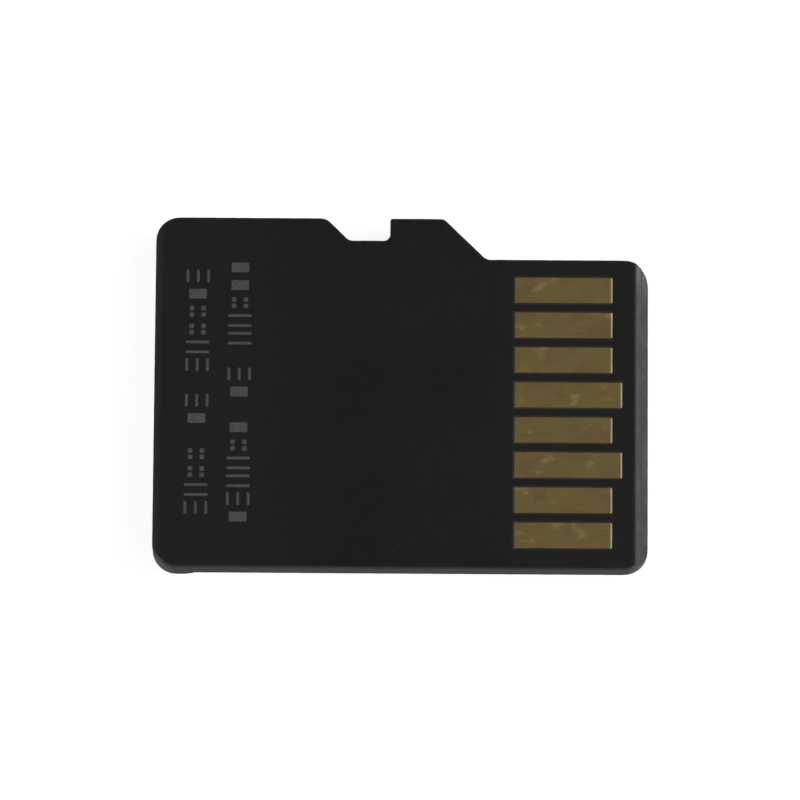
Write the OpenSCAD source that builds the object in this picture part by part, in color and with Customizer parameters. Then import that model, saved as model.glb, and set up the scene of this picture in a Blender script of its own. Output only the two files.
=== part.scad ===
// Memory card of the micro format, as it lies with its contacts up.
// The origin is under the middle of the card. X points to the contact end, Y to the side with the notch
// and Z up. The finger lip stands on Z = 0, and the label side is above it by the height of the lip.

/* [Card] */
// Length of the card
card_l = 15; // [14.8:0.1:18]
// Width of the card at its rear part
card_w = 11; // [10.9:0.1:14]
// Thickness of the card without the finger lip
body_t = 0.7; // [0.66:0.02:1.2]
// Radius of the four outer corners
corner_r = 0.73; // [0.3:0.01:1]

/* [Shoulder and notch] */
// How much narrower the front part is than the rear part
shoulder_depth = 1.28; // [0.9:0.02:1.34]
// Distance from the front end to the top of the shoulder slope
shoulder_from_front = 6.23; // [6:0.01:6.6]
// Length of the shoulder slope along the card
shoulder_run = 1.3; // [1:0.05:1.6]
// Radius at the top of the shoulder slope
shoulder_top_r = 0.22; // [0.1:0.01:0.5]
// Radius in the foot of the shoulder slope
shoulder_foot_r = 0.36; // [0.1:0.01:0.5]
// Distance from the front end to the upright wall of the notch
notch_from_front = 7.87; // [7.6:0.01:8.2]
// Length of the notch floor
notch_floor = 1.25; // [0.7:0.05:1.6]
// Depth of the notch and length of its ramp
notch_depth = 0.7; // [0.5:0.05:0.8]
// Radius in the foot of the upright notch wall
notch_foot_r = 0.21; // [0.05:0.01:0.3]
// Radius at the top of the upright notch wall
notch_top_r = 0.08; // [0.05:0.01:0.2]
// Radius in the foot of the notch's sloping ramp
ramp_foot_r = 0.31; // [0.1:0.01:0.5]
// Radius at the top of the notch's sloping ramp
ramp_top_r = 0.38; // [0.1:0.01:0.5]

/* [Front bevel] */
// Length of the ground bevel along the card
bevel_run = 0.33; // [0.2:0.01:0.4]
// Height of the ground bevel
bevel_drop = 0.35; // [0.2:0.01:0.4]
// Length of the blunt strip under the bevel
nose_run = 0.05; // [0.02:0.01:0.1]
// Height of the blunt strip under the bevel
nose_drop = 0.1; // [0.04:0.01:0.12]

/* [Finger lip] */
// How far the finger lip stands out of the label side
lip_drop = 0.3; // [0.2:0.05:0.5]
// Length of the face of the finger lip along the card, on the centre line
lip_l = 1.35; // [1.2:0.05:2.4]
// Radius of the curved front edge of the lip, seen from above
lip_curve_r = 30; // [20:1:60]
// How far the front wall of the lip leans
lip_lean = 0.42; // [0.1:0.02:0.6]
// Chamfer along the outer edges of the lip
lip_chamfer = 0.15; // [0.05:0.01:0.18]

/* [Board] */
// Thickness of the lacquer on each face of the board
mask_t = 0.03; // [0.02:0.005:0.04]
// Thickness of the laminate
board_t = 0.14; // [0.1:0.01:0.18]
// Thickness of a copper track on the inner face
track_t = 0.015; // [0.01:0.001:0.018]
// Width of a copper track
track_w = 0.08; // [0.05:0.01:0.1]
// Diameter of a plated hole
via_d = 0.15; // [0.1:0.01:0.2]
// Width of the copper ring around a plated hole
via_ring = 0.05; // [0.03:0.01:0.06]

/* [Contacts] */
// Distance from one contact to the next
contact_pitch = 1.1; // [1:0.02:1.12]
// Width of a contact
contact_w = 0.8; // [0.5:0.05:0.85]
// Length of a short contact
contact_l = 2.97; // [2.6:0.05:3.2]
// How much longer the two supply contacts are, at the front
supply_extra = 0.3; // [0.1:0.05:0.4]
// Distance from the front end to a short contact
contact_from_front = 1.09; // [1:0.05:1.4]
// Distance from the edge without the notch to the middle of the last contact
contact_from_edge = 1.06; // [0.9:0.02:1.2]
// Thickness of a contact
contact_t = 0.022; // [0.012:0.002:0.028]
// Radius of a contact's corners
contact_r = 0.08; // [0.03:0.01:0.15]
// Gap between a contact and the lacquer around it
contact_gap = 0.05; // [0.02:0.01:0.08]
// Distance from the front end of a short contact to its plated hole
via_inset = 0.25; // [0.2:0.01:0.3]

/* [Laser marks] */
// Height of a mark, along the card
mark_h = 0.72; // [0.5:0.02:0.9]
// Width of a mark, across the card
mark_w = 0.4; // [0.3:0.02:0.48]
// Distance from one mark to the next
mark_pitch = 0.56; // [0.5:0.01:0.6]
// Width of a laser line
mark_line = 0.09; // [0.05:0.01:0.12]
// Depth of a mark
mark_t = 0.01; // [0.005:0.001:0.015]
// Distance from the rear end to the middle of the outer row
mark_row_outer = 1.3; // [1:0.05:1.35]
// Distance from the rear end to the middle of the inner row
mark_row_inner = 2.58; // [2.4:0.02:3]

/* [Memory chips] */
// Length of a memory chip along the card
flash_l = 6.2; // [5:0.1:6.4]
// Width of a memory chip
flash_w = 8.8; // [7:0.1:9]
// Thickness of a memory chip
flash_t = 0.06; // [0.04:0.005:0.065]
// Thickness of the film under a memory chip
film_t = 0.02; // [0.01:0.001:0.022]
// How far each memory chip is set back from the one before
flash_stair = 0.35; // [0.3:0.01:0.4]
// Distance from the front end to the first memory chip
flash_from_front = 6.9; // [6.8:0.05:7.2]
// Distance from the edge without the notch to the memory chips
flash_from_edge = 0.8; // [0.6:0.05:0.9]
// Distance from one row of memory wires to the next
flash_wire_pitch = 0.5; // [0.3:0.02:0.52]

/* [Controller chip] */
// Length of the controller chip along the card
controller_l = 2.2; // [1.8:0.05:2.3]
// Width of the controller chip
controller_w = 2.9; // [2.6:0.05:3]
// Thickness of the controller chip
controller_t = 0.1; // [0.06:0.01:0.14]
// Distance from the front end to the middle of the controller chip
controller_from_front = 3.35; // [3.25:0.05:3.4]
// Distance from one controller wire to the next
controller_wire_pitch = 0.2; // [0.15:0.01:0.21]

/* [Bond wires] */
// Thickness of a bond wire
wire_d = 0.02; // [0.015:0.001:0.025]
// Height of a wire above the chip where it starts
wire_loop = 0.06; // [0.045:0.005:0.07]
// Length of the flat stitch at the end of a wire
wire_foot = 0.06; // [0.03:0.01:0.07]
// Distance from the edge of a chip to the wires on it
wire_inset = 0.12; // [0.1:0.01:0.14]
// Length of a bond finger
finger_l = 0.26; // [0.16:0.02:0.3]
// Width of a bond finger
finger_w = 0.1; // [0.06:0.01:0.12]
// Distance from the edge of a chip to the middle of its bond fingers
finger_reach = 0.45; // [0.4:0.01:0.5]

/* [Small components] */
// Length of a small component
chip_l = 0.6; // [0.5:0.02:0.7]
// Width of a small component
chip_w = 0.3; // [0.2:0.02:0.36]
// Height of a capacitor
capacitor_h = 0.3; // [0.2:0.01:0.32]
// Height of a resistor
resistor_h = 0.23; // [0.15:0.01:0.28]
// Length of a metal end cap
cap_l = 0.15; // [0.1:0.01:0.2]
// Wall of a metal end cap
cap_t = 0.015; // [0.01:0.001:0.02]
// Length of a solder joint on its land
solder_run = 0.1; // [0.05:0.01:0.12]
// Height of a solder joint
solder_rise = 0.15; // [0.08:0.01:0.18]
// Bare land left past a solder joint
land_margin = 0.04; // [0.02:0.01:0.06]
// Distance across the card from the controller chip to the middle of the capacitors
capacitor_offset = 1.8; // [1.6:0.05:1.9]
// Distance from one capacitor to the next along the card
capacitor_pitch = 1.2; // [1.1:0.05:1.25]
// Distance along the card from the middle of the controller chip back to the rear capacitors
capacitor_setback = 0.95; // [0.9:0.05:1]
// Distance along the card from the rear capacitors back to the resistors
resistor_setback = 1.3; // [1.2:0.05:1.35]
// How much further out than the capacitors the resistors sit
resistor_offset = 0.4; // [0:0.05:0.5]

/* [Hidden] */
contact_count = 8;
supply_contacts = [4, 6];
flash_count = 4;
flash_wire_rows = 12;
long_side_wires = 12;
short_side_wires = 8;
outer_mark_groups = [4, 2, 6];
inner_mark_groups = [6, 2, 5];
arc_fn = 48;
small_fn = 32;
cut = 1;

front_x = card_l / 2;
rear_x = -front_x;
notch_y = card_w / 2;
plain_y = -notch_y;

// Heights, from the label side up to the contact face
label_z = lip_drop;
top_z = label_z + body_t;
board_top_z = top_z - mask_t;
board_low_z = board_top_z - board_t;
inner_z = board_low_z - mask_t;

// Corners of the card in turn, each with its radius
shoulder_x = front_x - shoulder_from_front;
notch_x = front_x - notch_from_front;
notch_floor_y = notch_y - notch_depth;
corners = [
    [front_x, plain_y, corner_r],
    [front_x, notch_y - shoulder_depth, corner_r],
    [shoulder_x + shoulder_run, notch_y - shoulder_depth, shoulder_foot_r],
    [shoulder_x, notch_y, shoulder_top_r],
    [notch_x, notch_y, notch_top_r],
    [notch_x, notch_floor_y, notch_foot_r],
    [notch_x - notch_floor, notch_floor_y, ramp_foot_r],
    [notch_x - notch_floor - notch_depth, notch_y, ramp_top_r],
    [rear_x, notch_y, corner_r],
    [rear_x, plain_y, corner_r],
];

contact_front_x = front_x - contact_from_front;
contact_rear_x = contact_front_x - contact_l;
last_contact_y = plain_y + contact_from_edge;
via_x = contact_front_x - via_inset;

flash_front_x = front_x - flash_from_front;
flash_y = plain_y + flash_from_edge + flash_w / 2;
flash_finger_x = flash_front_x + finger_reach;
stair_h = flash_t + film_t;

controller_x = front_x - controller_from_front;
controller_y = last_contact_y + contact_pitch * (contact_count - 1) / 2;
controller_face_z = inner_z - film_t - controller_t;

land_l = cap_l + solder_run + land_margin;
land_x = chip_l / 2 - cap_l + land_l / 2;
capacitor_rear_x = controller_x - capacitor_setback;
capacitor_front_x = capacitor_rear_x + capacitor_pitch;
capacitor_y = controller_w / 2 + capacitor_offset;
resistor_x = capacitor_rear_x - resistor_setback;
resistor_y = capacitor_y + resistor_offset;
capacitor_places = [
    [capacitor_rear_x, controller_y + capacitor_y],
    [capacitor_front_x, controller_y + capacitor_y],
    [capacitor_rear_x, controller_y - capacitor_y],
    [capacitor_front_x, controller_y - capacitor_y],
];
resistor_places = [
    [resistor_x, controller_y + resistor_y],
    [resistor_x, controller_y - resistor_y],
];

// The bond finger that each contact's track ends on: side of the controller, then place along that side
contact_fingers = [[1, 2], [1, 0], [0, 10], [0, 8], [0, 3], [0, 1], [3, 7], [3, 5]];

// Geometry helpers

function unit(v) = v / norm(v);
function flat(p) = [p.x, p.y];
function left_of(p, q) = let (d = unit(q - p)) [-d.y, d.x];
function turn_of(a, b) = a.x * b.y - a.y * b.x;
function turned(v, a) = [v.x * cos(a) - v.y * sin(a), v.x * sin(a) + v.y * cos(a)];

// The way into corner i, the way out of it, and the length that its arc takes off each side
function way_in(i) = unit(flat(corners[i]) - flat(corners[(i + len(corners) - 1) % len(corners)]));
function way_out(i) = unit(flat(corners[(i + 1) % len(corners)]) - flat(corners[i]));
function arc_side(i) = corners[i].z * tan(acos(way_in(i) * way_out(i)) / 2);
function arc_start(i) = flat(corners[i]) - way_in(i) * arc_side(i);
function arc_end(i) = flat(corners[i]) + way_out(i) * arc_side(i);
function is_outer(i) = turn_of(way_in(i), way_out(i)) > 0;
function arc_centre(i) = arc_start(i) + [-way_in(i).y, way_in(i).x] * corners[i].z * (is_outer(i) ? 1 : -1);

// Offset of point i of a path to its left, so that the strip keeps its width through each bend
function mitre(path, i) =
    let (
        a = left_of(path[max(i - 1, 0)], path[max(i, 1)]),
        b = left_of(path[min(i, len(path) - 2)], path[min(i + 1, len(path) - 1)])
    )
    (a + b) / (1 + a * b);
function strip(path, width) = concat(
    [for (i = [0 : len(path) - 1]) path[i] + mitre(path, i) * width / 2],
    [for (i = [len(path) - 1 : -1 : 0]) path[i] - mitre(path, i) * width / 2]
);

module rounded_box(size, r) {
    square([size.x, size.y - 2 * r], center = true);
    square([size.x - 2 * r, size.y], center = true);
    for (x = [-1, 1], y = [-1, 1])
        translate([x * (size.x / 2 - r), y * (size.y / 2 - r)]) circle(r, $fn = small_fn);
}

// A profile drawn in X and Z, given its width across the card
module across(width) {
    rotate([90, 0, 0]) linear_extrude(height = width, center = true) children();
}

// The card's outline and the cuts that all its layers share

module card_outline() {
    difference() {
        union() {
            polygon([for (i = [0 : len(corners) - 1]) each [arc_start(i), arc_end(i)]]);
            for (i = [0 : len(corners) - 1])
                if (is_outer(i)) translate(arc_centre(i)) circle(corners[i].z, $fn = arc_fn);
        }
        for (i = [0 : len(corners) - 1])
            if (!is_outer(i)) translate(arc_centre(i)) circle(corners[i].z, $fn = arc_fn);
    }
}

module front_bevel() {
    bevel_x = front_x - nose_run - bevel_run;
    bevel_end_z = top_z - bevel_drop;
    across(card_w + 2 * cut)
        polygon([
            [bevel_x, top_z],
            [front_x - nose_run, bevel_end_z],
            [front_x, bevel_end_z - nose_drop],
            [front_x + cut, bevel_end_z - nose_drop],
            [front_x + cut, top_z + cut],
            [bevel_x, top_z + cut],
        ]);
}

module layer(low_z, high_z) {
    difference() {
        translate([0, 0, low_z]) linear_extrude(height = high_z - low_z) card_outline();
        front_bevel();
    }
}

// Moulded body

module label_recess() {
    difference() {
        translate([rear_x - cut, plain_y - cut, -cut])
            cube([card_l + 2 * cut, card_w + 2 * cut, label_z + cut]);
        translate([rear_x + lip_l - lip_curve_r, 0, -2 * cut])
            cylinder(h = 2 * cut, r = lip_curve_r, $fn = 4 * arc_fn);
        translate([rear_x + lip_l - lip_curve_r, 0, 0])
            cylinder(h = label_z, r1 = lip_curve_r, r2 = lip_curve_r + lip_lean, $fn = 4 * arc_fn);
    }
}

module lip_edge_chamfer() {
    for (side = [-1, 1])
        rotate([90, 0, 90]) linear_extrude(height = card_l + 2 * cut, center = true)
            polygon([
                [side * (notch_y - lip_chamfer), 0],
                [side * (notch_y - lip_chamfer), -cut],
                [side * (notch_y + cut), -cut],
                [side * (notch_y + cut), lip_chamfer],
                [side * notch_y, lip_chamfer],
            ]);
    across(card_w + 2 * cut)
        polygon([
            [rear_x + lip_chamfer, 0],
            [rear_x, lip_chamfer],
            [rear_x - cut, lip_chamfer],
            [rear_x - cut, -cut],
            [rear_x + lip_chamfer, -cut],
        ]);
}

// What the mould flows around: the chips, the wires and the small components
module cavities() {
    for (k = [0 : flash_count - 1]) flash_level(k, 0, stair_h);
    controller_level(0, film_t + controller_t);
    flash_bond_wires();
    controller_bond_wires();
    for (place = capacitor_places) translate(place) small_component(capacitor_h);
    for (place = resistor_places) translate(place) small_component(resistor_h);
    solder_joints();
}

module moulded_body() {
    color([0.12, 0.12, 0.12])
    difference() {
        layer(0, inner_z);
        label_recess();
        lip_edge_chamfer();
        cavities();
    }
}

// Board, lacquer and copper

module laminate_board() {
    color([0.25, 0.22, 0.14])
    difference() {
        layer(board_low_z, board_top_z);
        for (i = [1 : contact_count])
            translate([via_x, contact_y(i), board_low_z - cut])
                cylinder(h = board_t + 2 * cut, d = via_d, $fn = small_fn);
    }
}

module contact_face_mask() {
    color([0.13, 0.13, 0.12])
    difference() {
        layer(board_top_z, top_z);
        translate([0, 0, board_top_z - cut]) linear_extrude(height = mask_t + 2 * cut)
            for (i = [1 : contact_count]) contact_shape(i, contact_gap);
        translate([0, 0, top_z - mark_t]) linear_extrude(height = cut) mark_shapes();
    }
}

module inner_face_mask() {
    color([0.13, 0.13, 0.12])
    difference() {
        layer(inner_z, board_low_z);
        inner_copper();
    }
}

function contact_y(i) = last_contact_y + contact_pitch * (contact_count - i);
function contact_reach(i) = len(search(i, supply_contacts)) > 0 ? supply_extra : 0;

module contact_shape(i, gap) {
    reach = contact_reach(i);
    translate([contact_rear_x + (contact_l + reach) / 2, contact_y(i)])
        rounded_box([contact_l + reach + 2 * gap, contact_w + 2 * gap], contact_r);
}

module contact_pad(i) {
    color([0.42, 0.35, 0.2])
    translate([0, 0, board_top_z]) linear_extrude(height = contact_t) contact_shape(i, 0);
}

module contact_vias() {
    color([0.7, 0.42, 0.25])
    for (i = [1 : contact_count])
        translate([via_x, contact_y(i), board_low_z]) cylinder(h = board_t, d = via_d, $fn = small_fn);
}

// Where bond finger k on one side of the controller lies, and the end of it that its track meets
function side_half(side) = (side % 2 == 0 ? controller_l : controller_w) / 2;
function side_wires(side) = side % 2 == 0 ? long_side_wires : short_side_wires;
function side_place(side, k) = (k - (side_wires(side) - 1) / 2) * controller_wire_pitch;
function finger_end(side, k) =
    [controller_x, controller_y]
    + turned([side_half(side) + finger_reach + finger_l / 2 - track_w / 2, side_place(side, k)], 90 * side);
function flash_row_y(j) = flash_y + (j - (flash_wire_rows - 1) / 2) * flash_wire_pitch;
function flash_finger_end(j) = [flash_finger_x + finger_l / 2 - track_w / 2, flash_row_y(j)];
function land(place, end) = place + [end * land_x, 0];

module around_controller() {
    for (side = [0 : 3], k = [0 : side_wires(side) - 1])
        translate([controller_x, controller_y, 0]) rotate(90 * side)
            translate([side_half(side), side_place(side, k), 0]) children();
}

module fingers_and_lands() {
    around_controller() translate([finger_reach, 0]) square([finger_l, finger_w], center = true);
    for (j = [0 : flash_wire_rows - 1])
        translate([flash_finger_x, flash_row_y(j)]) square([finger_l, finger_w], center = true);
    for (place = concat(capacitor_places, resistor_places), end = [-1, 1])
        translate(land(place, end)) square([land_l, chip_w], center = true);
}

module tracks() {
    for (j = [0 : flash_wire_rows - 1])
        polygon(strip([flash_finger_end(j), finger_end(2, long_side_wires - 1 - j)], track_w));
    for (i = [1 : contact_count]) {
        via = [via_x, contact_y(i)];
        target = contact_fingers[i - 1];
        polygon(strip([via, finger_end(target[0], target[1])], track_w));
        translate(via) circle(d = via_d + 2 * via_ring, $fn = small_fn);
    }
    c = capacitor_places;
    r = resistor_places;
    for (pair = [
        [land(c[0], 1), land(c[1], -1)],
        [land(c[2], 1), land(c[3], -1)],
        [land(c[1], -1), finger_end(1, 4)],
        [land(c[3], -1), finger_end(3, 3)],
        [land(r[0], 1), land(c[0], -1)],
        [land(r[1], 1), land(c[2], -1)],
    ])
        polygon(strip(pair, track_w));
}

module inner_copper() {
    color([0.75, 0.47, 0.28])
    translate([0, 0, inner_z]) {
        linear_extrude(height = mask_t) fingers_and_lands();
        translate([0, 0, mask_t - track_t]) linear_extrude(height = track_t) tracks();
    }
}

// Laser marks: two rows of plain bars, dots and blocks

function cells_before(groups, g) = g == 0 ? 0 : cells_before(groups, g - 1) + groups[g - 1] + 1;
function mark_cells(groups) = [
    for (g = [0 : len(groups) - 1], k = [0 : groups[g] - 1]) cells_before(groups, g) + k
];
function row_length(groups) = cells_before(groups, len(groups)) - 2;

module mark(style) {
    if (style == 0) {
        for (y = [-1, 1])
            translate([0, y * (mark_w - mark_line) / 2]) square([mark_h, mark_line], center = true);
    } else if (style == 1) {
        for (x = [-1, 0, 1])
            translate([x * (mark_h - mark_line) / 2, 0]) square([mark_line, mark_w], center = true);
    } else if (style == 2) {
        square([mark_h - 2 * mark_line, mark_w - mark_line], center = true);
    } else {
        for (x = [-1, 1], y = [-1, 1])
            translate([x * mark_h / 4, y * mark_w / 4]) square(1.6 * mark_line, center = true);
    }
}

module mark_row(groups, seed) {
    cells = mark_cells(groups);
    for (n = [0 : len(cells) - 1])
        translate([0, (cells[n] - row_length(groups) / 2) * mark_pitch])
            mark((n * 3 + floor(n / 3) + seed) % 4);
}

module mark_shapes() {
    translate([rear_x + mark_row_outer, 0]) mark_row(outer_mark_groups, 1);
    translate([rear_x + mark_row_inner, 0]) mark_row(inner_mark_groups, 2);
}

module laser_marks() {
    color([0.3, 0.3, 0.29])
    translate([0, 0, top_z - mark_t]) linear_extrude(height = mark_t) mark_shapes();
}

// Chips and their films

// A slice of memory chip k with its film, between two depths below the face that the film sticks to
module flash_level(k, from, to) {
    translate([
        flash_front_x - k * flash_stair - flash_l,
        flash_y - flash_w / 2,
        inner_z - k * stair_h - to,
    ])
        cube([flash_l, flash_w, to - from]);
}

module flash_die(k) {
    color([0.35, 0.36, 0.4]) flash_level(k - 1, film_t, stair_h);
}

module flash_die_film(k) {
    color([0.8, 0.72, 0.5]) flash_level(k - 1, 0, film_t);
}

module controller_level(from, to) {
    translate([controller_x - controller_l / 2, controller_y - controller_w / 2, inner_z - to])
        cube([controller_l, controller_w, to - from]);
}

module controller_die() {
    color([0.3, 0.32, 0.38]) controller_level(film_t, film_t + controller_t);
}

module controller_die_film() {
    color([0.8, 0.72, 0.5]) controller_level(0, film_t);
}

// Bond wires

function stitch_x(k) = flash_front_x - k * flash_stair - wire_inset;
function flash_face_z(k) = inner_z - (k + 1) * stair_h;

// One row of memory wires, from the chip nearest the label down the stairs to the board
flash_wire_path = concat(
    [[stitch_x(flash_count - 1), flash_face_z(flash_count - 1)]],
    [for (k = [flash_count - 1 : -1 : 0]) each concat(
        k == flash_count - 1 ? [] : [
            [stitch_x(k) - wire_foot, flash_face_z(k) - wire_d / 2],
            [stitch_x(k), flash_face_z(k) - wire_d / 2],
        ],
        [
            [stitch_x(k), flash_face_z(k) - wire_loop],
            [stitch_x(k) + wire_foot, flash_face_z(k) - wire_loop],
        ]
    )],
    [
        [flash_finger_x - wire_foot, inner_z - wire_d / 2],
        [flash_finger_x + wire_foot, inner_z - wire_d / 2],
    ]
);

// One controller wire, from the chip's edge out to its bond finger
controller_wire_path = [
    [-wire_inset, controller_face_z],
    [-wire_inset, controller_face_z - wire_loop],
    [-wire_inset + wire_foot, controller_face_z - wire_loop],
    [finger_reach - wire_foot, inner_z - wire_d / 2],
    [finger_reach + wire_foot, inner_z - wire_d / 2],
];

module flash_bond_wires() {
    color("gold")
    for (j = [0 : flash_wire_rows - 1])
        translate([0, flash_row_y(j), 0]) across(wire_d) polygon(strip(flash_wire_path, wire_d));
}

module controller_bond_wires() {
    color("gold")
    around_controller() across(wire_d) polygon(strip(controller_wire_path, wire_d));
}

// Small components, each with its length along the card

module component_body(height) {
    translate([-chip_l / 2 + cap_t, -chip_w / 2 + cap_t, inner_z - height + cap_t])
        cube([chip_l - 2 * cap_t, chip_w - 2 * cap_t, height - 2 * cap_t]);
}

module component_terminals(height) {
    difference() {
        for (end = [-1, 1])
            translate([end > 0 ? chip_l / 2 - cap_l : -chip_l / 2, -chip_w / 2, inner_z - height])
                cube([cap_l, chip_w, height]);
        component_body(height);
    }
}

module small_component(height) {
    component_body(height);
    for (end = [-1, 1])
        translate([end > 0 ? chip_l / 2 - cap_l : -chip_l / 2, -chip_w / 2, inner_z - height])
            cube([cap_l, chip_w, height]);
}

module capacitor(k) {
    color([0.62, 0.52, 0.38]) translate(capacitor_places[k - 1]) component_body(capacitor_h);
}

module capacitor_terminals(k) {
    color([0.75, 0.75, 0.76]) translate(capacitor_places[k - 1]) component_terminals(capacitor_h);
}

module resistor(k) {
    color([0.2, 0.2, 0.22]) translate(resistor_places[k - 1]) component_body(resistor_h);
}

module resistor_terminals(k) {
    color([0.75, 0.75, 0.76]) translate(resistor_places[k - 1]) component_terminals(resistor_h);
}

module solder_joints() {
    color([0.66, 0.67, 0.69])
    for (place = concat(capacitor_places, resistor_places), end = [-1, 1])
        translate(place) across(chip_w)
            polygon([
                [end * chip_l / 2, inner_z],
                [end * (chip_l / 2 + solder_run), inner_z],
                [end * chip_l / 2, inner_z - solder_rise],
            ]);
}

moulded_body();
laminate_board();
contact_face_mask();
inner_face_mask();
contact_pad(1);  // contact_pad_1
contact_pad(2);  // contact_pad_2
contact_pad(3);  // contact_pad_3
contact_pad(4);  // contact_pad_4
contact_pad(5);  // contact_pad_5
contact_pad(6);  // contact_pad_6
contact_pad(7);  // contact_pad_7
contact_pad(8);  // contact_pad_8
laser_marks();
contact_vias();
inner_copper();
controller_die();
controller_die_film();
flash_die(1);  // flash_die_1
flash_die(2);  // flash_die_2
flash_die(3);  // flash_die_3
flash_die(4);  // flash_die_4
flash_die_film(1);  // flash_die_film_1
flash_die_film(2);  // flash_die_film_2
flash_die_film(3);  // flash_die_film_3
flash_die_film(4);  // flash_die_film_4
controller_bond_wires();
flash_bond_wires();
capacitor(1);  // capacitor_1
capacitor(2);  // capacitor_2
capacitor(3);  // capacitor_3
capacitor(4);  // capacitor_4
capacitor_terminals(1);  // capacitor_terminals_1
capacitor_terminals(2);  // capacitor_terminals_2
capacitor_terminals(3);  // capacitor_terminals_3
capacitor_terminals(4);  // capacitor_terminals_4
resistor(1);  // resistor_1
resistor(2);  // resistor_2
resistor_terminals(1);  // resistor_terminals_1
resistor_terminals(2);  // resistor_terminals_2
solder_joints();
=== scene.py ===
import math

import bmesh
import bpy
import numpy as np
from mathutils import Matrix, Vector
from mathutils.geometry import delaunay_2d_cdt


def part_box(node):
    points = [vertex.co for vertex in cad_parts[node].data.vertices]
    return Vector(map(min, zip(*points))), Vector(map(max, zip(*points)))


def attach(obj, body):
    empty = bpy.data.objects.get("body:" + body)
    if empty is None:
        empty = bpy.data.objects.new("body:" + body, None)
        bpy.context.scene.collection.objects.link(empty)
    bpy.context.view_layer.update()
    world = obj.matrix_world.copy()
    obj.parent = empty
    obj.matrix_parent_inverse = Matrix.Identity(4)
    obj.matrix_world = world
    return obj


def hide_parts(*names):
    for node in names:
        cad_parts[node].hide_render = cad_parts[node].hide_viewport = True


mm = 0.001  # the card's sizes are in millimetres, Blender works in metres

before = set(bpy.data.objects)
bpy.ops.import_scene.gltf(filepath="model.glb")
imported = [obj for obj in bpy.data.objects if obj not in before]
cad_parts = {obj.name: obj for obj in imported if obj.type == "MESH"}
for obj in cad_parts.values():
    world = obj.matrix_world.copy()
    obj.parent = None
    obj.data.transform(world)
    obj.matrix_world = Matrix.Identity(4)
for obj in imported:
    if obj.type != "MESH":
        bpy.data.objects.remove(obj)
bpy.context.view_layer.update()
print("frame loaded:", len(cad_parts), "nodes")


def nodeBox(name):
    # lowest and highest corner of a CAD node, in millimetres
    low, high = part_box(name)
    return np.array(low) / mm, np.array(high) / mm


bodyLow, bodyHigh = nodeBox("moulded_body")
boardLow, boardHigh = nodeBox("laminate_board")
maskLow, maskHigh = nodeBox("contact_face_mask")

# the card's outline, seen from its contact side, and how its edges are worn
card = {
    "cornerRadius": 0.73,
    "shoulderDepth": 1.28,
    "shoulderFromFront": 6.23,
    "shoulderRun": 1.3,
    "shoulderTopRadius": 0.22,
    "shoulderFootRadius": 0.36,
    "notchFromFront": 7.87,
    "notchFloor": 1.25,
    "notchDepth": 0.7,
    "notchFootRadius": 0.21,
    "notchTopRadius": 0.08,
    "rampFootRadius": 0.31,
    "rampTopRadius": 0.38,
    "bevelRun": 0.33,
    "bevelDrop": 0.35,
    "noseRun": 0.05,
    "noseDrop": 0.1,
    "bevelRoundRun": 0.085,  # the bevel's inner edge is rubbed soft over this length
    "edgeRun": 0.13,  # the contact face falls away over this width along its edge
    "edgeDrop": 0.02,
    "plainEdgeDrop": 0.12,  # and falls further on the side without the notch
    "edgeLevels": 12,
    "notchEdgeShare": 0.3,  # at the notch's sharp corner the worn edge narrows to this share
    "notchEdgeReach": 0.35,  # and this far from it the edge has its full width
    "wallLevels": 9,
    "labelRound": 0.02,  # the round along the label side
    "labelRoundLevels": 7,
    "labelRoundFade": 0.3,  # it runs out over this length at the lip
    "leastLevelGap": 0.001,  # a level that is nearer than this to the next one is left out
    "pointSpacing": 0.035,
}

# how far the cut walls wander inwards of the true outline
cut = {
    "straightDepth": 0.0015,
    "arcDepth": 0.007,
    "waveDepth": 0.004,
    "ridgePitch": 0.11,
    "ridgeDrift": 3.0,  # phase that the ridges gain for each millimetre of height, so they lean a little
    "ridgeSeed": 5,
    "wavePitch": 1.1,
    "waveSeed": 8,
    "sines": 4,
    "rateStep": 0.73,
    "rateStray": 0.2,
    "fadeStep": 0.5,
    "phaseSpan": 6.28,
}

lip = {
    "drop": 0.3,
    "length": 1.35,
    "lean": 0.42,
    "curveRadius": 30.0,
    "edgeRound": 0.15,
    "levels": 18,
    "arcPoints": 220,
}

frontX, rearX = bodyHigh[0], bodyLow[0]
notchY, plainY = bodyHigh[1], bodyLow[1]
topZ = maskHigh[2]
labelZ = bodyLow[2] + lip["drop"]


def smooth(t):
    # 0 to 1 with level ends
    t = np.clip(t, 0, 1)
    return t * t * (3 - 2 * t)


def quarterDrop(t):
    # how far a quarter circle has fallen at t, 0 at its crown and 1 at its side
    return 1 - np.sqrt(1 - np.clip(t, 0, 1) ** 2)


def lipX(y, z):
    # front wall of the lip: an arc seen from above, which leans forward as it rises to the label side
    rise = smooth((z - bodyLow[2]) / lip["drop"])
    reach = lip["length"] + lip["lean"] * rise
    return rearX + reach - lip["curveRadius"] + np.sqrt(lip["curveRadius"] ** 2 - y**2)


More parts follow.
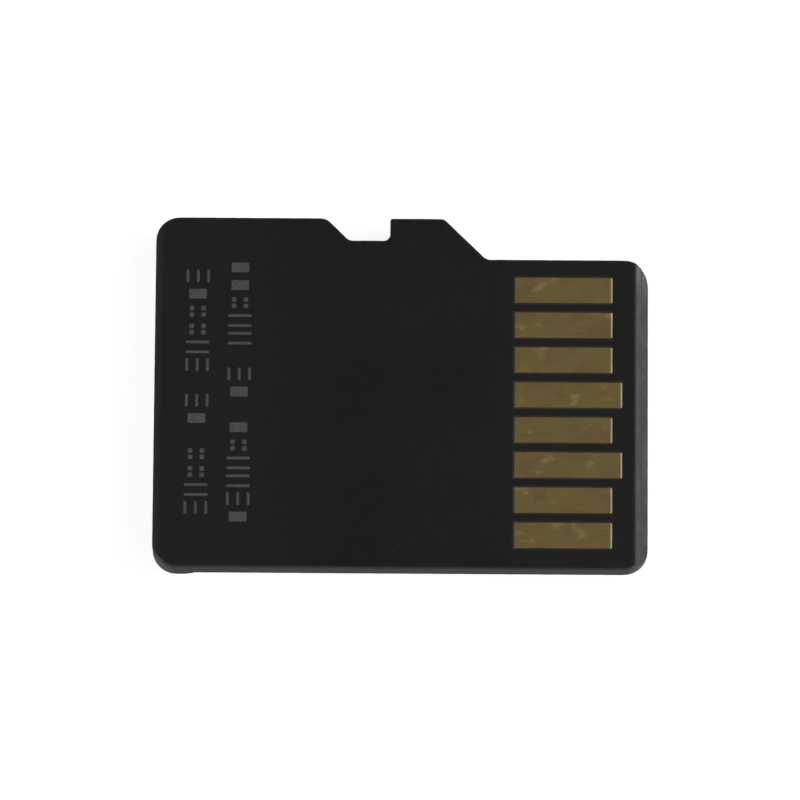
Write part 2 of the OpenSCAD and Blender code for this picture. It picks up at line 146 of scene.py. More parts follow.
def roundedOutline(corners, spacing):
    # straights joined by arcs that touch them, as points with their outward normals
    corners = np.array(corners, float)
    place, radius = corners[:, :2], corners[:, 2]
    out = np.roll(place, -1, 0) - place
    out /= np.linalg.norm(out, axis=1)[:, None]
    into = np.roll(out, 1, 0)
    turn = np.arctan2(into[:, 0] * out[:, 1] - into[:, 1] * out[:, 0], (into * out).sum(1))
    reach = radius * np.tan(np.abs(turn) / 2)
    points, normals, onArc, starts = [], [], [], []
    for i in range(len(corners)):
        steps = max(8, math.ceil(radius[i] * abs(turn[i]) / spacing)) if radius[i] > 0 else 0
        heading = math.atan2(into[i, 1], into[i, 0]) + np.linspace(0, turn[i], steps + 1)
        normal = np.stack([np.sin(heading), -np.cos(heading)], 1)
        offset = radius[i] * np.sign(turn[i])
        centre = place[i] - into[i] * reach[i] - normal[0] * offset
        arc = centre + normal * offset
        following = (i + 1) % len(corners)
        end = place[following] - out[i] * reach[following]
        fill = math.ceil(np.linalg.norm(end - arc[-1]) / spacing)
        t = np.linspace(0, 1, fill + 1)[1:-1, None]
        starts.append(sum(len(p) for p in points))
        points += [arc, arc[-1] + (end - arc[-1]) * t]
        normals += [normal, np.repeat([[out[i, 1], -out[i, 0]]], len(t), 0)]
        onArc += [np.full(len(arc), float(steps > 0)), np.zeros(len(t))]
    return np.vstack(points), np.vstack(normals), np.concatenate(onArc), starts


def cardOutline():
    # starts where the lip's front wall meets the side with the notch, and runs round the rear end first
    shoulderX = frontX - card["shoulderFromFront"]
    frontY = notchY - card["shoulderDepth"]
    notchX = frontX - card["notchFromFront"]
    floorY = notchY - card["notchDepth"]
    lipSide = lipX(notchY, labelZ)
    return roundedOutline(
        [
            (lipSide, notchY, 0),
            (rearX, notchY, card["cornerRadius"]),
            (rearX, plainY, card["cornerRadius"]),
            (lipSide, plainY, 0),
            (frontX, plainY, card["cornerRadius"]),
            (frontX, frontY, card["cornerRadius"]),
            (shoulderX + card["shoulderRun"], frontY, card["shoulderFootRadius"]),
            (shoulderX, notchY, card["shoulderTopRadius"]),
            (notchX, notchY, card["notchTopRadius"]),
            (notchX, floorY, card["notchFootRadius"]),
            (notchX - card["notchFloor"], floorY, card["rampFootRadius"]),
            (notchX - card["notchFloor"] - card["notchDepth"], notchY, card["rampTopRadius"]),
        ],
        card["pointSpacing"],
    )


outline, outward, onArc, cornerStarts = cardOutline()
lipEnd = cornerStarts[3]  # where the outline leaves the rear part
along = np.concatenate([[0], np.cumsum(np.linalg.norm(np.diff(outline, axis=0), axis=1))])


def waves(x, seed):
    # sines that get faster and weaker, at odd rates and phases, added up and brought to 0 to 1: they look
    # like noise along the edge
    rng = np.random.default_rng(seed)
    k = np.arange(cut["sines"])[:, None]
    rate = 1 + cut["rateStep"] * k + cut["rateStray"] * rng.random(k.shape)
    tone = np.sin(x * rate + cut["phaseSpan"] * rng.random(k.shape))
    return np.clip(0.5 + 0.5 * ((tone / (1 + cut["fadeStep"] * k)).sum(0) / 2), 0, 1)


def cutDepth(z):
    # upright ridges of the cutter, deeper in the corners, on a slow wave; never outside the true outline
    ridge = waves(along * 2 * np.pi / cut["ridgePitch"] + z * cut["ridgeDrift"], cut["ridgeSeed"])
    wave = waves(along * 2 * np.pi / cut["wavePitch"], cut["waveSeed"])
    return np.where(onArc > 0, cut["arcDepth"], cut["straightDepth"]) * ridge + cut["waveDepth"] * wave


def bevelX(z):
    # how far the ground front end reaches at a height
    low = topZ - card["bevelDrop"]
    nose = frontX - card["noseRun"]
    reach = np.interp(z, [low - card["noseDrop"], low, topZ], [frontX, nose, nose - card["bevelRun"]])
    return reach - card["bevelRoundRun"] * quarterDrop((z - topZ + card["edgeDrop"]) / card["edgeDrop"])


def edgeInset(z):
    # the worn edge of the contact face: a quarter ellipse, deeper on the side without the notch
    drop = card["edgeDrop"] + (card["plainEdgeDrop"] - card["edgeDrop"]) * smooth(-outward[:, 1])
    away = np.hypot(outline[:, 0] - frontX + card["notchFromFront"], outline[:, 1] - notchY)
    share = card["notchEdgeShare"] + (1 - card["notchEdgeShare"]) * smooth(away / card["notchEdgeReach"])
    return card["edgeRun"] * share * quarterDrop((z - topZ + drop) / drop)


def atHeight(ring, z):
    # the same points seen from above, all at one height
    return np.column_stack([ring[:, :2], np.full(len(ring), z)])


def wallRing(z, inset=None):
    # the card's section at a height: the outline moved in, and cut off by the front bevel
    inset = edgeInset(z) if inset is None else inset
    ring = outline - outward * (inset + cutDepth(z))[:, None]
    ring[:, 0] = np.minimum(ring[:, 0], bevelX(z))
    return atHeight(ring, z)


def rectangleRing(centre, size, radius, z, steps):
    # rounded rectangle, anticlockwise seen from above: a quarter circle about each of the four centres
    angle = np.linspace(0, 2 * np.pi, 4 * steps + 1)[:-1].reshape(4, steps)
    angle = np.column_stack([angle, angle[:, 0] + np.pi / 2])
    turned = np.stack([np.cos(angle), np.sin(angle)], 2) * radius
    signs = np.array([(1, 1), (-1, 1), (-1, -1), (1, -1)])[:, None, :]
    ring = centre + signs * (np.array(size) / 2 - radius) + turned
    return atHeight(ring.reshape(-1, 2), z)


joinDistance = 1e-7  # in metres: points nearer than this become one
smoothDeg = 32  # walls are shaded smooth where they fold by less
levelNormal = 0.9999  # a face whose normal is this upright counts as level


class Shell:
    # collects the walls and caps of one piece, and joins them where they meet

    def __init__(self):
        self.points, self.faces, self.count = [], [], 0

    def add(self, points, faces):
        # the faces count from the first of their own points, which lands after those already there
        self.points.append(points)
        self.faces += (faces + self.count).tolist()
        self.count += len(points)

    def loft(self, rings):
        # quads between closed rings that run anticlockwise seen from above, from the top ring down
        n = len(rings[0])
        here = np.arange(n)[None, :] + n * np.arange(len(rings) - 1)[:, None]
        there = np.roll(here, -1, 1)
        self.add(np.vstack(rings), np.stack([here, here + n, there + n, there], 2).reshape(-1, 4))

    def cap(self, loops, up):
        # a level face in well-shaped triangles: an outer loop and its holes, all anticlockwise from above
        flat = np.vstack(loops)
        ends = np.cumsum([len(loop) for loop in loops])
        areas = [list(range(end - len(loop), end)) for loop, end in zip(loops, ends)]
        insideOnly, tolerance, withOwners = 1, 1e-9, True
        _, _, triangles, _, _, owners = delaunay_2d_cdt(
            flat[:, :2].tolist(), [], areas, insideOnly, tolerance, withOwners
        )
        solid = [owner == [0] for owner in owners]  # inside the outer loop and in no hole
        self.add(flat, np.array(triangles)[solid][:, :: 1 if up else -1])

    def build(self, name, sharpDeg=smoothDeg):
        # walls are smooth up to sharpDeg, level faces stay flat
        mesh = bpy.data.meshes.new(name)
        mesh.from_pydata((np.vstack(self.points) * mm).tolist(), [], self.faces)
        bm = bmesh.new()
        bm.from_mesh(mesh)
        bmesh.ops.remove_doubles(bm, verts=bm.verts, dist=joinDistance)
        bm.to_mesh(mesh)
        bm.free()
        mesh.shade_smooth()
        mesh.set_sharp_from_angle(angle=math.radians(sharpDeg))
        normals = np.zeros(3 * len(mesh.polygons))
        mesh.polygons.foreach_get("normal", normals)
        mesh.polygons.foreach_set("use_smooth", np.abs(normals[2::3]) < levelNormal)
        piece = bpy.data.objects.new(name, mesh)
        bpy.context.scene.collection.objects.link(piece)
        return piece


# materials


def hexColor(code):
    # sRGB hex to linear: near black a plain share, above it a power of 2.4
    v = np.array([int(code[i : i + 2], 16) for i in (1, 3, 5)]) / 255
    linear = np.where(v <= 0.04045, v / 12.92, ((v + 0.055) / 1.055) ** 2.4)
    return (*linear.tolist(), 1.0)


def addNode(tree, kind, inputs=None, **settings):
    # inputs are values, or outputs of other nodes to link; settings are the node's own options
    node = tree.nodes.new("ShaderNode" + kind)
    for key, value in settings.items():
        setattr(node, key, value)
    for key, value in (inputs or {}).items():
        if isinstance(value, bpy.types.NodeSocket):
            tree.links.new(value, node.inputs[key])
        else:
            node.inputs[key].default_value = value
    return node


def newTree(block):
    # an empty node tree for a material or the world
    block.use_nodes = True
    block.node_tree.nodes.clear()
    return block.node_tree


def makeMaterial(name, look):
    # patterns are noises of a real size in millimetres, with a stretch along each axis and a detail;
    # masks take a pattern or a measure of the surface from low to high; tints (colour and strength), shades
    # (change of roughness) and relief (millimetres) are laid on in turn, where the masks named after them
    # are strong
    material = bpy.data.materials.new(name)
    tree = newTree(material)
    coords = addNode(tree, "TexCoord").outputs["Object"]
    normal = addNode(tree, "NewGeometry").outputs["Normal"]
    facing = addNode(tree, "SeparateXYZ", {0: normal}).outputs
    position = addNode(tree, "SeparateXYZ", {0: coords}).outputs
    sideways = addNode(tree, "Math", {0: facing[0], 1: facing[1]}, operation="MULTIPLY").outputs[0]
    masks = {
        "towardsFront": facing[0],
        "upwards": facing[2],
        "level": addNode(tree, "Math", {0: facing[2]}, operation="ABSOLUTE").outputs[0],
        "diagonal": addNode(tree, "Math", {0: sideways}, operation="ABSOLUTE").outputs[0],
        "placeX": position[0],
        "placeY": position[1],
    }
    for key, (size, stretch, detail) in look["patterns"].items():
        scale = [1 / (size * mm * s) for s in stretch]
        mapped = addNode(tree, "Mapping", {"Vector": coords, "Scale": scale}).outputs[0]
        noise = addNode(tree, "TexNoise", {"Vector": mapped, "Scale": 1.0, "Detail": detail})
        masks[key] = noise.outputs[0]
    for key, (source, low, high) in look["masks"].items():
        span = {"Value": masks[source], "From Min": low, "From Max": high}
        masks[key] = addNode(tree, "MapRange", span).outputs[0]

    def strength(amount, keys):
        # an amount times the masks
        for key in keys:
            amount = addNode(tree, "Math", {0: masks[key], 1: amount}, operation="MULTIPLY").outputs[0]
        return amount

    colour = hexColor(look["base"])
    for code, most, *keys in look["tints"]:
        mixed = {0: strength(most, keys), 6: colour, 7: hexColor(code)}  # 6 and 7 are its colour sockets
        colour = addNode(tree, "Mix", mixed, data_type="RGBA").outputs[2]
    roughness = look["roughness"]
    for amount, *keys in look["shades"]:
        added = {0: strength(amount, keys), 1: roughness}
        roughness = addNode(tree, "Math", added, operation="ADD").outputs[0]
    shader = addNode(tree, "BsdfPrincipled", {"Base Color": colour, "Roughness": roughness})
    shader.inputs["Metallic"].default_value = look.get("metallic", 0.0)
    if "ior" in look:
        shader.inputs["IOR"].default_value = look["ior"]
    bumped = None
    for height, *keys in look["relief"]:
        node = addNode(tree, "Bump", {"Distance": height * mm, "Height": strength(1.0, keys)})
        if bumped:
            tree.links.new(bumped, node.inputs["Normal"])
        bumped = node.outputs[0]
    tree.links.new(bumped, shader.inputs["Normal"])
    addNode(tree, "OutputMaterial", {"Surface": shader.outputs[0]})
    return material


# Black solder mask: an epoxy lacquer, screen printed and cured. It looks satin and almost even, a little
# green in the thick of it and brown where it thins out at the rear edge, with a few specks of dust in it.
# Its finest texture is drawn coarser than the real one, as coarse as it needs to be to show.
solderMask = makeMaterial(
    "blackSolderMask",
    {
        "base": "#040909",
        "roughness": 0.42,
        "ior": 1.5,
        "patterns": {
            "cloud": (3.2, (1, 1, 1), 2),
            "haze": (0.5, (1, 1, 1), 4),
            "dust": (0.14, (1, 1, 1), 0),
            "nicks": (0.11, (1, 1, 1), 3),
            "peel": (0.17, (1, 1, 1), 2),
            "fine": (0.04, (1, 1, 1), 1),
        },
        "masks": {
            "warm": ("cloud", 0.4, 0.65),
            "hazy": ("haze", 0.45, 0.7),
            "speck": ("dust", 0.86, 0.9),
            "wall": ("level", 0.8, 0.3),
            "rimSheenAndWear": ("level", 0.9995, 0.97),
            "nicked": ("nicks", 0.42, 0.62),
            "notchSide": ("placeY", -5.0 * mm, -4.2 * mm),
            "unground": ("towardsFront", 0.12, 0.0),
            "ground": ("towardsFront", 0.1, 0.5),
            "thin": ("placeX", (rearX + 0.25) * mm, rearX * mm),
            "paintedLightRearward": ("placeX", -1.5 * mm, -5.5 * mm),
            "frontward": ("placeX", 2.0 * mm, 5.0 * mm),
        },
        "tints": [
            # painted light: the face is drawn lighter and greener towards its rear, a painted shading
            # gradient across it
            ("#111615", 0.9, "paintedLightRearward"),
            ("#14110e", 0.6, "frontward"),
            ("#0e100e", 0.6, "warm"),
            ("#121513", 0.35, "hazy"),
            ("#30281f", 1.0, "thin"),
            ("#2d2e2c", 1.0, "speck"),
            # the rounded rim, away from the plain side and the ground front, is drawn paler: partly a
            # painted reflection of the room along the rim, partly real wear, mottled where nicked
            ("#222321", 0.9, "rimSheenAndWear", "notchSide", "unground"),
            ("#3c3d3a", 0.7, "rimSheenAndWear", "notchSide", "unground", "nicked"),
            ("#2c2b28", 1.0, "wall"),
        ],
        "shades": [(0.06, "peel"), (0.25, "wall"), (0.2, "ground")],
        "relief": [(0.002, "peel"), (0.0006, "fine")],
    },
)

# The moulding and the board are cut and ground together, so they share the cutter's upright ridges, the
# lines and rubbed patches of the ground front end and one coarsely sanded corner. They also share walls
# round the corners that are painted paler, a painted highlight.
cutPatterns = {
    "upright": (0.05, (1, 1, 14), 2),
    "lines": (0.035, (1, 40, 1), 2),
    "patch": (0.5, (1, 1, 1), 2),
    "grit": (0.045, (1, 1, 1), 2),
}
cutMasks = {
    "wall": ("level", 0.9, 0.5),
    "front": ("towardsFront", 0.35, 0.6),
    "rising": ("upwards", 0.3, 0.55),
    "streaks": ("lines", 0.4, 0.65),
    "rubbed": ("patch", 0.45, 0.65),
    "corner": ("diagonal", 0.12, 0.4),
    "gritty": ("grit", 0.35, 0.65),
    "sanded": ("placeY", 3.0 * mm, 3.9 * mm),
}
# painted highlight: the walls that turn diagonally round the corners are drawn paler, grittier in places
cornerTints = [
    ("#4a4842", 0.9, "corner"),
    ("#625f58", 0.7, "corner", "gritty"),
]
sandedTints = [
    ("#262726", 0.8, "front", "rising", "sanded"),
    ("#6f6f6a", 0.8, "front", "rising", "sanded", "gritty"),
]
cutRelief = [
    (0.002, "lines", "front", "rising"),
    (0.005, "grit", "corner"),
    (0.005, "grit", "front", "sanded"),
]

# Epoxy moulding compound filled with silica: charcoal black and matte from the eroded mould. The sides are
# cut, which shows as upright ridges and a warmer grey. The walls round the corners are painted paler, a
# painted highlight. The front bevel is ground.
mouldedEpoxy = makeMaterial(
    "mouldedEpoxyCompound",
    {
        "base": "#161616",
        "roughness": 0.6,
        "ior": 1.5,
        "patterns": {"grain": (0.05, (1, 1, 1), 2), **cutPatterns},
        "masks": {"ridges": ("upright", 0.35, 0.7), **cutMasks},
        "tints": [
            ("#282722", 1.0, "wall"),
            ("#33312b", 0.8, "wall", "ridges"),
            *cornerTints,
            ("#202122", 1.0, "front", "rising"),
            ("#2e3031", 0.8, "front", "rising", "streaks"),
            ("#474948", 0.4, "front", "rising", "rubbed"),
            *sandedTints,
        ],
        "shades": [(0.08, "grain"), (0.2, "wall")],
        "relief": [(0.003, "grain"), (0.008, "upright", "wall"), *cutRelief],
    },
)

# Glass cloth in dark epoxy: the sawn edge is brown-grey, with thin lines where the plies of cloth lie, and
# its plain face shows as a dark brown floor round each contact.
glassEpoxy = makeMaterial(
    "glassEpoxyLaminate",
    {
        "base": "#2f2615",
        "roughness": 0.6,
        "ior": 1.5,
        "patterns": {"plies": (0.045, (12, 12, 0.6), 1), **cutPatterns},
        "masks": {"threads": ("plies", 0.4, 0.65), **cutMasks},
        "tints": [
            ("#282722", 1.0, "wall"),
            ("#35332c", 0.8, "wall", "threads"),
            *cornerTints,
            ("#1d2121", 1.0, "front", "rising"),
            ("#292e2e", 0.8, "front", "rising", "streaks"),
            ("#434847", 0.4, "front", "rising", "rubbed"),
            *sandedTints,
        ],
        "shades": [(0.2, "wall")],
        "relief": [(0.006, "upright", "wall"), *cutRelief],
    },
)

# Hard gold over nickel on copper: a dull yellow metal, a little greener or redder from place to place, with
# faint smudges. The sloping ends that face forward and back are painted pale and grey, a painted reflection
# of the pale room. The grain of the plating is drawn much coarser than the real one, because that is too
# fine to show.
hardGold = makeMaterial(
    "hardGoldPlating",
    {
        "base": "#edcf88",
        "roughness": 0.3,
        "metallic": 1.0,
        "patterns": {
            "tone": (0.8, (1, 1, 1), 4),
            "blush": (0.55, (1.5, 1, 1), 4),
            "smudge": (0.28, (1.6, 1, 1), 3),
            "swipe": (0.12, (7, 1, 1), 3),
            "spot": (0.07, (1, 1, 1), 0),
            "wave": (0.4, (1, 1, 1), 2),
            "grain": (0.03, (1, 1, 1), 1),
        },
        "masks": {
            "greener": ("tone", 0.5, 0.65),
            "redder": ("blush", 0.5, 0.66),
            "stained": ("smudge", 0.6, 0.72),
            "streaked": ("swipe", 0.61, 0.73),
            "spotted": ("spot", 0.87, 0.89),
            "paintedReflectionFront": ("towardsFront", 0.08, 0.2),
            "paintedReflectionRear": ("towardsFront", -0.08, -0.2),
        },
        "tints": [
            ("#dfcc83", 1.0, "greener"),
            ("#e4bb88", 0.8, "redder"),
            ("#efd27a", 0.3, "stained"),
            ("#c9ac6c", 0.45, "streaked"),
            ("#5f4f2c", 0.8, "spotted"),
            # painted reflection: the contacts' ends are drawn pale and grey where they face forward and back
            ("#c4bba5", 0.9, "paintedReflectionFront"),
            ("#d8d0bd", 0.7, "paintedReflectionRear"),
        ],
        "shades": [(0.08, "stained"), (0.05, "tone")],
        "relief": [(0.003, "wave"), (0.0006, "grain")],
    },
)

# Solder mask scorched by a pulsed laser: pale grey and quite matte, made of small overlapping spots.
laserMarked = makeMaterial(
    "laserMarkedMask",
    {
        "base": "#393a38",
        "roughness": 0.7,
        "ior": 1.5,
        "patterns": {"spots": (0.03, (1, 1, 1), 1), "fade": (0.6, (1, 1, 1), 2)},
        "masks": {"burnt": ("spots", 0.35, 0.6), "weak": ("fade", 0.5, 0.75)},
        "tints": [("#4f504d", 1.0, "burnt"), ("#353634", 0.4, "weak")],
        "shades": [(0.1, "spots")],
        "relief": [(0.004, "spots")],
    },
)


def innerFinish(name, base, second, grainMm, roughness, metallic=0.0, reliefMm=0.001):
    # two shades of one colour in a fine grain, for the pieces inside the card
    look = {
        "base": base,
        "roughness": roughness,
        "metallic": metallic,
        "patterns": {"grain": (grainMm, (1, 1, 1), 2)},
        "masks": {"fleck": ("grain", 0.35, 0.65)},
        "tints": [(second, 1.0, "fleck")],
        "shades": [(0.08, "grain")],
        "relief": [(reliefMm, "grain")],
    }
    return makeMaterial(name, look)


# foil is etched and dull, wafers are ground thin and polished, capacitors are fired brown, resistors glazed;
# after the name come two shades, the grain in millimetres, the roughness, the metallic and the relief
etchedCopper = innerFinish("etchedCopperFoil", "#b8714a", "#c98158", 0.05, 0.35, 1.0)
wafer = innerFinish("polishedSilicon", "#3a3c44", "#45474f", 0.4, 0.12, 0.0, 0.0004)
dieFilm = innerFinish("curedDieFilm", "#c9b27a", "#bda56c", 0.1, 0.4)
goldWire = innerFinish("drawnGoldWire", "#f0c669", "#e6ba5c", 0.02, 0.22, 1.0)
ceramic = innerFinish("firedTitanateCeramic", "#8a6a4a", "#7c5e40", 0.04, 0.6)
glaze = innerFinish("blackResistorGlaze", "#1d1d20", "#26262a", 0.05, 0.3)
tin = innerFinish("matteTin", "#bdbdbf", "#a9a9ac", 0.03, 0.42, 1.0)
solder = innerFinish("reflowedSolder", "#b5b6ba", "#a1a3a8", 0.06, 0.3, 1.0)
print("materials made")


def place(piece, material, slot, *nodes):
    # every outer piece rides on the card's one body and stands for a CAD node
    piece.data.materials.append(material)
    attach(piece, "root")
    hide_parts(*nodes)


contact = {
    "count": 8,
    "cornerRadius": 0.035,
    "gap": 0.05,  # bare laminate between a contact and the lacquer round it
    "endRun": 0.055,  # the ends slope down over this length
    "sideRun": 0.008,
    "slopeDrop": 0.012,
    "slopeBend": 1.15,  # the slope is this power of the way down, so it eases in at the top
    "slopeLevels": (0, 0.04, 0.12, 0.3, 0.6, 0.85, 0.95, 1),
    "crown": 0.0008,
    "crownLevels": 8,
    "crownWidth": 0.02,  # the level top of the crown is two corner radii and this much wide
    "sharpDeg": 50,  # the ends run softly into the face
    "windowRound": 0.004,
    "windowLevels": 4,
    "arcSteps": 6,
}

# the plated holes' seats in the board; half would be round, but then the sides' points fall together
hole = {"roundness": 0.49, "arcSteps": 6}

mark = {
    "height": 0.72,
    "width": 0.4,
    "pitch": 0.56,
    "line": 0.09,
    "dotShare": 1.6,  # a dot is this many lines wide
    "depth": 0.01,
    "sink": 0.003,  # the marked lacquer lies this much lower
    "rows": [  # distance from the rear end, marks in each group, which style comes first
        (1.3, [4, 2, 6], 1),
        (2.58, [6, 2, 5], 2),
    ],
    "endRadius": 0.03,
    "arcSteps": 4,
}


def contactBox(i):
    # centre, size, underside and top of a contact
    low, high = nodeBox("contact_pad_%d" % i)
    return (low + high)[:2] / 2, (high - low)[:2], low[2], high[2]


def markBars():
    # every bar, dot and block of both rows, as centre and size; a free place lies between groups
    h, w, line = mark["height"], mark["width"], mark["line"]
    dot = mark["dotShare"] * line
    styles = [
        [(0, y * (w - line) / 2, h, line) for y in (-1, 1)],
        [(x * (h - line) / 2, 0, line, w) for x in (-1, 0, 1)],
        [(0, 0, h - 2 * line, w - line)],
        [(x * h / 4, y * w / 4, dot, dot) for x in (-1, 1) for y in (-1, 1)],
    ]
    bars = []
    for fromRear, groups, first in mark["rows"]:
        group = np.repeat(np.arange(len(groups)), groups)
        cell = np.arange(len(group)) + group
        for n, y in enumerate((cell - cell[-1] / 2) * mark["pitch"]):
            style = styles[(n * 3 + n // 3 + first) % len(styles)]  # an order that doesn't repeat at once
            bars += [(rearX + fromRear + cx, y + cy, sx, sy) for cx, cy, sx, sy in style]
    return bars


def markRing(bar, z):
    # the rim of one bar at a height
    return rectangleRing(bar[:2], bar[2:], mark["endRadius"], z, mark["arcSteps"])


def faceLevels(low):
    # heights that crowd towards the contact face, where its worn edge turns level
    t = np.linspace(0, np.pi / 2, card["edgeLevels"])
    drops = np.concatenate([card["edgeDrop"] * (1 - np.sin(t)), card["plainEdgeDrop"] * (1 - np.sin(t))])
    levels = topZ - drops
    return np.unique(np.round(np.append(levels[levels > low + card["leastLevelGap"]], low), 6))[::-1]


def contactFaceLacquer():
    # a sheet with the worn edge, eight windows with just rounded rims, and a pocket for each mark
    shell = Shell()
    rings = [wallRing(z) for z in faceLevels(maskLow[2])]
    shell.loft(rings)
    top, low = [rings[0]], [rings[-1]]
    for i in range(1, contact["count"] + 1):
        centre, size, _, _ = contactBox(i)
        angle = np.linspace(0, np.pi / 2, contact["windowLevels"])
        widen = contact["windowRound"] * (1 - np.sin(angle))
        drop = contact["windowRound"] * (1 - np.cos(angle))
        gap, radius = contact["gap"], contact["cornerRadius"] + contact["gap"] / 2
        window = [
            rectangleRing(centre, size + 2 * (gap + w), radius + w, topZ - d, contact["arcSteps"])
            for w, d in zip(widen, drop)
        ]
        window.append(atHeight(window[-1], maskLow[2]))
        shell.loft([ring[::-1] for ring in window])
        top.append(window[0])
        low.append(window[-1])
    for bar in markBars():
        rim, floor = markRing(bar, topZ), markRing(bar, topZ - mark["depth"])
        shell.loft([rim[::-1], floor[::-1]])
        shell.cap([floor], True)
        top.append(rim)
    shell.cap(top, True)
    shell.cap(low, False)
    place(shell.build("contactFaceLacquer"), solderMask, "solder_mask", "contact_face_mask")


def boardLaminate():
    # the board between its lacquers, with a plated hole's seat under each contact
    shell = Shell()
    levels = faceLevels(boardLow[2])
    levels = levels[levels < boardHigh[2] - card["leastLevelGap"]]
    rings = [wallRing(z) for z in np.append(boardHigh[2], levels)]
    shell.loft(rings)
    top, low = [rings[0]], [rings[-1]]
    viaLow, viaHigh = nodeBox("contact_vias")
    diameter = (viaHigh - viaLow)[0]
    radius, steps = hole["roundness"] * diameter, hole["arcSteps"]
    for i in range(1, contact["count"] + 1):
        centre = ((viaLow + viaHigh)[0] / 2, contactBox(i)[0][1])
        rim = rectangleRing(centre, (diameter, diameter), radius, boardHigh[2], steps)
        foot = atHeight(rim, boardLow[2])
        shell.loft([rim[::-1], foot[::-1]])
        top.append(rim)
        low.append(foot)
    shell.cap(top, True)
    shell.cap(low, False)
    place(shell.build("boardLaminate"), glassEpoxy, "laminate", "laminate_board")


def mouldedBody():
    # walls down to the label side, a small round along it in front of the lip, then the lip itself
    shell = Shell()
    r = card["labelRound"]
    ends = np.minimum(np.abs(along - along[lipEnd]), np.abs(along[-1] - along))
    rounded = np.where(np.arange(len(along)) > lipEnd, smooth(ends / card["labelRoundFade"]), 0)
    bevelEnd = topZ - card["bevelDrop"]
    levels = np.linspace(bodyHigh[2], labelZ + r, card["wallLevels"])
    levels = np.unique(np.append(levels, [bevelEnd, bevelEnd - card["noseDrop"]]))
    rings = [wallRing(z) for z in levels[::-1]]
    angle = np.linspace(0, np.pi / 2, card["labelRoundLevels"])[1:]
    rings += [wallRing(labelZ + r * (1 - math.sin(a)), rounded * r * (1 - math.cos(a))) for a in angle]
    shell.loft(rings)
    shell.cap([rings[0]], True)

    # the label side ends at the lip's arc
    foot = rings[-1]
    arcY = np.linspace(foot[lipEnd, 1], foot[0, 1], lip["arcPoints"])
    arc = atHeight(np.column_stack([lipX(arcY, labelZ), arcY]), labelZ)
    arc[0], arc[-1] = foot[lipEnd], foot[0]
    shell.cap([np.vstack([foot[lipEnd:], arc[::-1][:-1]])], False)

    # the lip: the rear part of the outline, rounded in at its foot, closed by the leaning arc
    rear = np.arange(lipEnd + 1)
    ahead = outline[rear, 0] - rearX - card["cornerRadius"]
    share = np.clip(ahead / ahead.max(), 0, 1)  # the straight sides stretch with the leaning arc
    lipRings = [np.vstack([foot[rear], arc[1:-1]])]
    for z in labelZ - lip["drop"] * smooth(np.linspace(0, 1, lip["levels"]))[1:]:
        rise = (z - bodyLow[2]) / lip["edgeRound"]
        inset = lip["edgeRound"] * quarterDrop(1 - rise) + cutDepth(labelZ)[rear] * np.clip(rise, 0, 1)
        ring = outline[rear] - outward[rear] * inset[:, None]
        ring[:, 0] += share * (lipX(ring[:, 1], z) - outline[0, 0])
        y = np.linspace(ring[-1, 1], ring[0, 1], lip["arcPoints"])[1:-1]
        lipRings.append(atHeight(np.vstack([ring, np.column_stack([lipX(y, z), y])]), z))
    shell.loft(lipRings)
    shell.cap([lipRings[-1]], False)
    place(shell.build("mouldedBody"), mouldedEpoxy, "moulded_epoxy", "moulded_body")


def contactPlate(i):
    # straight sides, ends that slope, and a face with a very slight crown
    centre, size, low, high = contactBox(i)
    radius, steps = contact["cornerRadius"], contact["arcSteps"]
    run = np.array([contact["endRun"], contact["sideRun"]])
    shoulder = high - contact["crown"]
    rings = [rectangleRing(centre, size, radius, low, steps)]
    for t in contact["slopeLevels"]:
        drop = contact["slopeDrop"] * (1 - t) ** contact["slopeBend"]
        rings.append(rectangleRing(centre, size - 2 * run * t, radius, shoulder - drop, steps))
    for t in np.linspace(0, 1, contact["crownLevels"])[1:]:
        inner = size - 2 * run - (size[1] - 2 * run[1] - 2 * radius - contact["crownWidth"]) * t
        height = shoulder + contact["crown"] * math.sin(t * np.pi / 2)
        rings.append(rectangleRing(centre, inner, radius, height, steps))
    shell = Shell()
    shell.loft(rings[::-1])
    shell.cap([rings[-1]], True)
    shell.cap([rings[0]], False)
    piece = shell.build("contactPlate%d" % i, contact["sharpDeg"])
    place(piece, hardGold, "gold_plating", "contact_pad_%d" % i)


def laserMarks():
    # each mark is a thin plate that lies a little lower than the lacquer
    shell = Shell()
    for bar in markBars():
        rim, foot = markRing(bar, topZ - mark["sink"]), markRing(bar, topZ - mark["depth"])
        shell.loft([rim, foot])
        shell.cap([rim], True)
        shell.cap([foot], False)
    place(shell.build("laserMarks"), laserMarked, "laser_mark", "laser_marks")


contactFaceLacquer()
boardLaminate()
mouldedBody()
for i in range(1, contact["count"] + 1):
    contactPlate(i)
laserMarks()
print("outer pieces made")

# the pieces inside keep their CAD shape and get their own finishes; the longest name that fits counts
finishes = {
    "inner_face_mask": solderMask,
    "contact_vias": etchedCopper,
    "inner_copper": etchedCopper,
    "controller_die": wafer,
    "controller_die_film": dieFilm,
    "flash_die": wafer,
    "flash_die_film": dieFilm,
    "controller_bond_wires": goldWire,
    "flash_bond_wires": goldWire,
    "capacitor": ceramic,
    "capacitor_terminals": tin,
    "resistor": glaze,
    "resistor_terminals": tin,
    "solder_joints": solder,
}
for name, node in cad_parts.items():
    kinds = [key for key in finishes if name.startswith(key)]
    if kinds:
        node.data.materials.clear()
        node.data.materials.append(finishes[max(kinds, key=len)])
print("inner pieces dressed")


